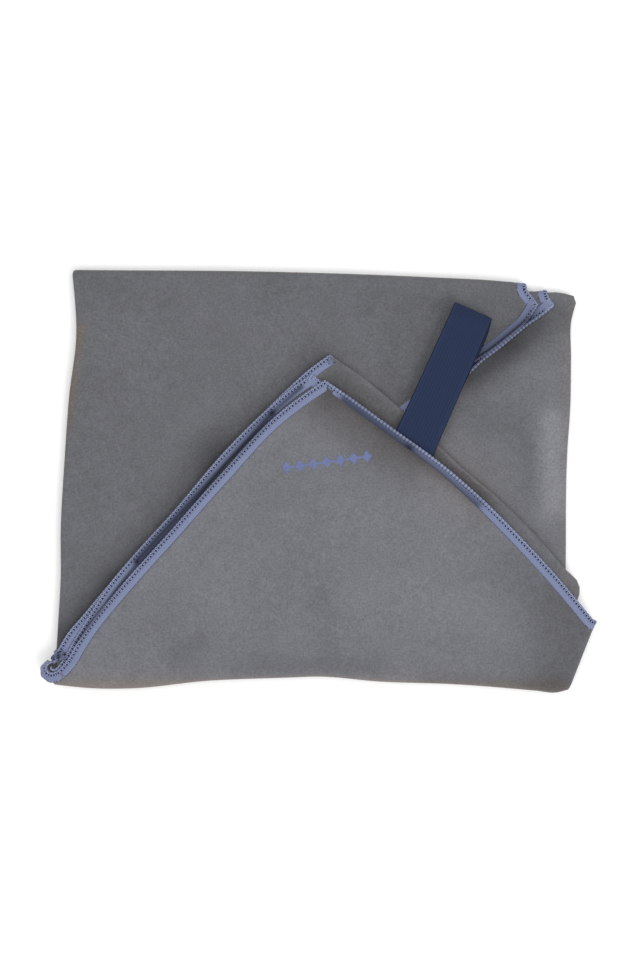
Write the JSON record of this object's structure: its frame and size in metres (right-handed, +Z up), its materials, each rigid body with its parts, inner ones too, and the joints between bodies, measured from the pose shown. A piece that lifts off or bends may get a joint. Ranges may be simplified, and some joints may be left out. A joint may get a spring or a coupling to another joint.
{
  "type": "folded towel",
  "caption": "Brushed microfibre towel folded to a flat block, with overlocked edges, a corner flap that opens and an elastic hanging loop.",
  "frame": {"origin": "on the floor under the middle of the folded block", "axes": "+X along the bottom fold, +Y from the bottom fold towards the top fold, +Z up out of the flap's face"},
  "size_m": [0.325, 0.25, 0.0173],
  "materials": {
    "cloth": "brushed microfibre suede",
    "edging": "overlock thread, slight sheen",
    "elastic": "ribbed woven elastic",
    "print": "flat heat transfer print"
  },
  "bodies": {
    "folded_stack": {"back_layer_1": "cloth", "back_layer_2": "cloth", "back_layer_3": "cloth", "back_layer_4": "cloth", "back_left_fold": "cloth", "back_right_fold": "cloth", "front_pair_lower_layer": "cloth", "front_pair_upper_layer": "cloth", "front_right_fold": "cloth", "front_middle_layer": "cloth", "front_middle_edging": "edging", "front_top_layer": "cloth", "front_top_edging": "edging", "front_left_fold": "cloth", "top_fold": "cloth"},
    "flap": {"flap_pair_lower_layer": "cloth", "flap_pair_lower_edging": "edging", "flap_pair_upper_layer": "cloth", "flap_pair_upper_edging": "edging", "flap_second_layer": "cloth", "flap_second_end_edging": "edging", "flap_second_side_edging": "edging", "flap_top_layer": "cloth", "flap_top_end_edging": "edging", "flap_top_side_edging": "edging", "bottom_fold": "cloth", "corner_print": "print"},
    "loop": {"hanging_loop": "elastic"}
  },
  "joints": [
    {"name": "flap_fold", "type": "hinge", "parent": "folded_stack", "child": "flap", "pos_m": [0, -0.1191, 0.0059], "axis": [1, 0, 0], "range_deg": [0, 175], "deforming": ["bottom_fold"]},
    {"name": "loop_swing", "type": "hinge", "parent": "flap", "child": "loop", "pos_m": [0.05599, 0.02199, 0.0121], "axis": [0.8291, -0.5591, 0], "range_deg": [0, 110]}
  ]
}
